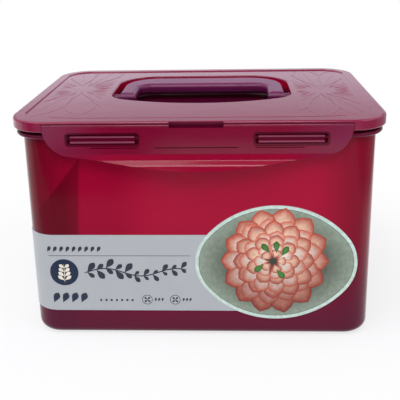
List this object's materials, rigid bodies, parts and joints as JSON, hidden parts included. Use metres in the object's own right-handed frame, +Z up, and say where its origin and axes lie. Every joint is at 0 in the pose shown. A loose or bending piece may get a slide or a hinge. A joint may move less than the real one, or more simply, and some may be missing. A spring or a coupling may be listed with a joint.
{
  "type": "kimchi container",
  "caption": "Deep rounded rectangular food keeper with a gasketed lid, long snap flaps front and back, and a bail handle that folds into a well in the lid.",
  "frame": {"origin": "middle of the base, on the plane of the foot ring", "axes": "+X along the length to the right of the label side, +Y to the back, +Z up"},
  "size_m": [0.232, 0.1802, 0.1455],
  "materials": {
    "tub_plastic": "clear crimson, glossy",
    "lid_plastic": "crimson, glossy",
    "handle_plastic": "plum, glossy",
    "label_film": "printed film, satin",
    "seal_silicone": "soft silicone"
  },
  "bodies": {
    "keeper": {"container": "tub_plastic", "label": "label_film", "gasket": "seal_silicone", "lid": "lid_plastic"},
    "handle": {"handle": "handle_plastic"},
    "front_flap": {"front_flap": "lid_plastic"},
    "back_flap": {"back_flap": "lid_plastic"}
  },
  "joints": [
    {"name": "handle_fold", "type": "hinge", "parent": "keeper", "child": "handle", "pos_m": [0, 0.002, 0.1404], "axis": [1, 0, 0], "range_deg": [0, 90]},
    {"name": "front_flap_hinge", "type": "hinge", "parent": "keeper", "child": "front_flap", "pos_m": [0, -0.0852, 0.1426], "axis": [-1, 0, 0], "range_deg": [0, 110]},
    {"name": "back_flap_hinge", "type": "hinge", "parent": "keeper", "child": "back_flap", "pos_m": [0, 0.0852, 0.1426], "axis": [1, 0, 0], "range_deg": [0, 110]}
  ]
}
